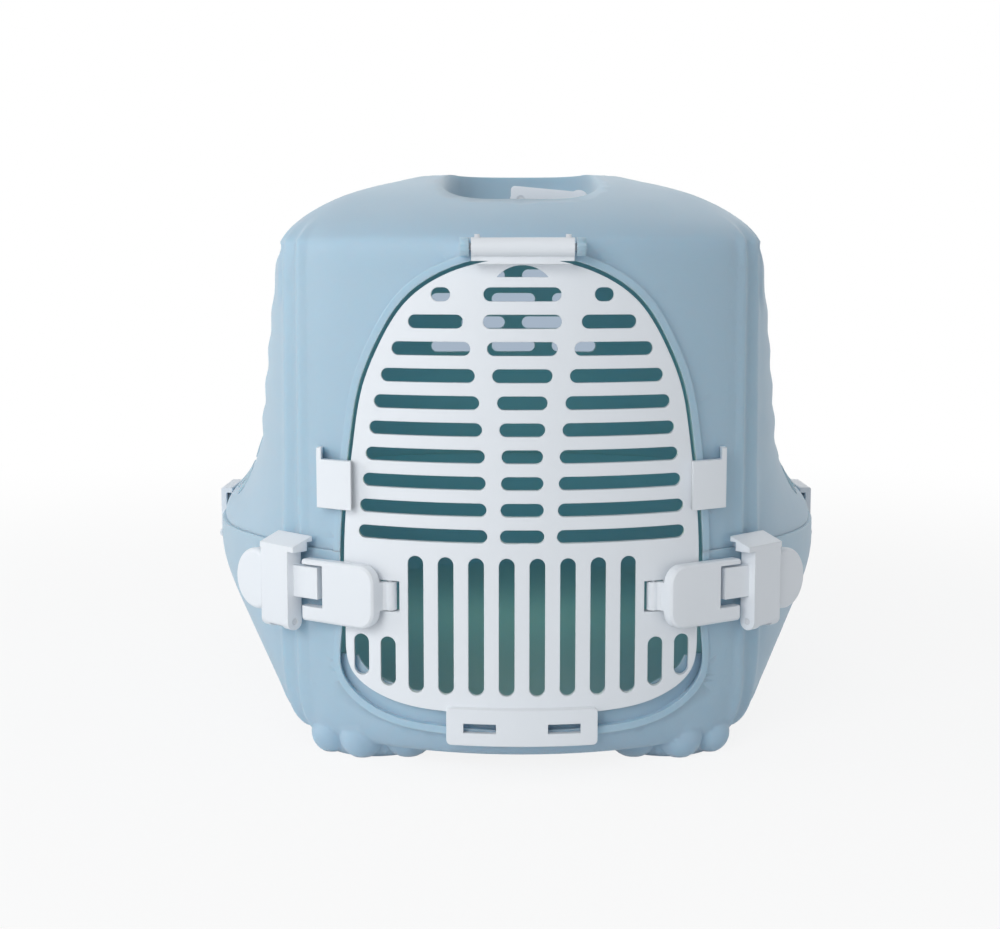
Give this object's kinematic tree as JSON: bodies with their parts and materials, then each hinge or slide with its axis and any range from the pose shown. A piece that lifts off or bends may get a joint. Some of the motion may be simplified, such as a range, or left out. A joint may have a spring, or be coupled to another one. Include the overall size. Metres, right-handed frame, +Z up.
{
  "type": "pet carrier",
  "caption": "Domed hard-shell pet carrier with a top-hung slotted door, latch levers, hooked corner and side clips and a folding carry handle in a scoop.",
  "frame": {"origin": "on the floor, under the middle of the carrier's overall length and width", "axes": "+Z up, +Y from the door to the rear wall, +X to the right seen from the door"},
  "size_m": [0.3576, 0.4999, 0.2741],
  "materials": {
    "blue_plastic": "satin, fine moulded texture",
    "white_plastic": "satin",
    "pin_plastic": "plain"
  },
  "bodies": {
    "carrier": {"lower_shell": "blue_plastic", "upper_shell": "blue_plastic", "left_door_pin": "pin_plastic", "right_door_pin": "pin_plastic", "front_handle_pin": "pin_plastic", "rear_handle_pin": "pin_plastic", "left_front_clip_pin": "pin_plastic", "right_front_clip_pin": "pin_plastic", "left_side_clip_pin": "pin_plastic", "right_side_clip_pin": "pin_plastic"},
    "door": {"door": "white_plastic", "left_lever_pin": "pin_plastic", "right_lever_pin": "pin_plastic"},
    "handle": {"handle": "white_plastic"},
    "left_latch_lever": {"left_latch_lever": "white_plastic"},
    "right_latch_lever": {"right_latch_lever": "white_plastic"},
    "left_front_clip": {"left_front_clip": "white_plastic"},
    "right_front_clip": {"right_front_clip": "white_plastic"},
    "left_side_clip": {"left_side_clip": "white_plastic"},
    "right_side_clip": {"right_side_clip": "white_plastic"}
  },
  "joints": [
    {"name": "door_hinge", "type": "hinge", "parent": "carrier", "child": "door", "pos_m": [0, -0.246, 0.2342], "axis": [-1, 0, 0], "range_deg": [0, 105]},
    {"name": "handle_hinge", "type": "hinge", "parent": "carrier", "child": "handle", "pos_m": [0, -0.129, 0.257], "axis": [0, -1, 0], "range_deg": [0, 180]},
    {"name": "left_lever_hinge", "type": "hinge", "parent": "door", "child": "left_latch_lever", "pos_m": [-0.0585, -0.22627, 0.08], "axis": [0, 0, 1], "range_deg": [0, 90]},
    {"name": "right_lever_hinge", "type": "hinge", "parent": "door", "child": "right_latch_lever", "pos_m": [0.0585, -0.22627, 0.08], "axis": [0, 0, -1], "range_deg": [0, 90]},
    {"name": "left_clip_hinge", "type": "hinge", "parent": "carrier", "child": "left_front_clip", "pos_m": [-0.11102, -0.20102, 0.064], "axis": [0.7071, -0.7071, 0], "range_deg": [0, 80]},
    {"name": "right_clip_hinge", "type": "hinge", "parent": "carrier", "child": "right_front_clip", "pos_m": [0.11102, -0.20102, 0.064], "axis": [0.7071, 0.7071, 0], "range_deg": [0, 80]},
    {"name": "left_side_clip_hinge", "type": "hinge", "parent": "carrier", "child": "left_side_clip", "pos_m": [-0.176, 0.045, 0.068], "axis": [0, -1, 0], "range_deg": [0, 75]},
    {"name": "right_side_clip_hinge", "type": "hinge", "parent": "carrier", "child": "right_side_clip", "pos_m": [0.176, 0.045, 0.068], "axis": [0, 1, 0], "range_deg": [0, 75]}
  ]
}
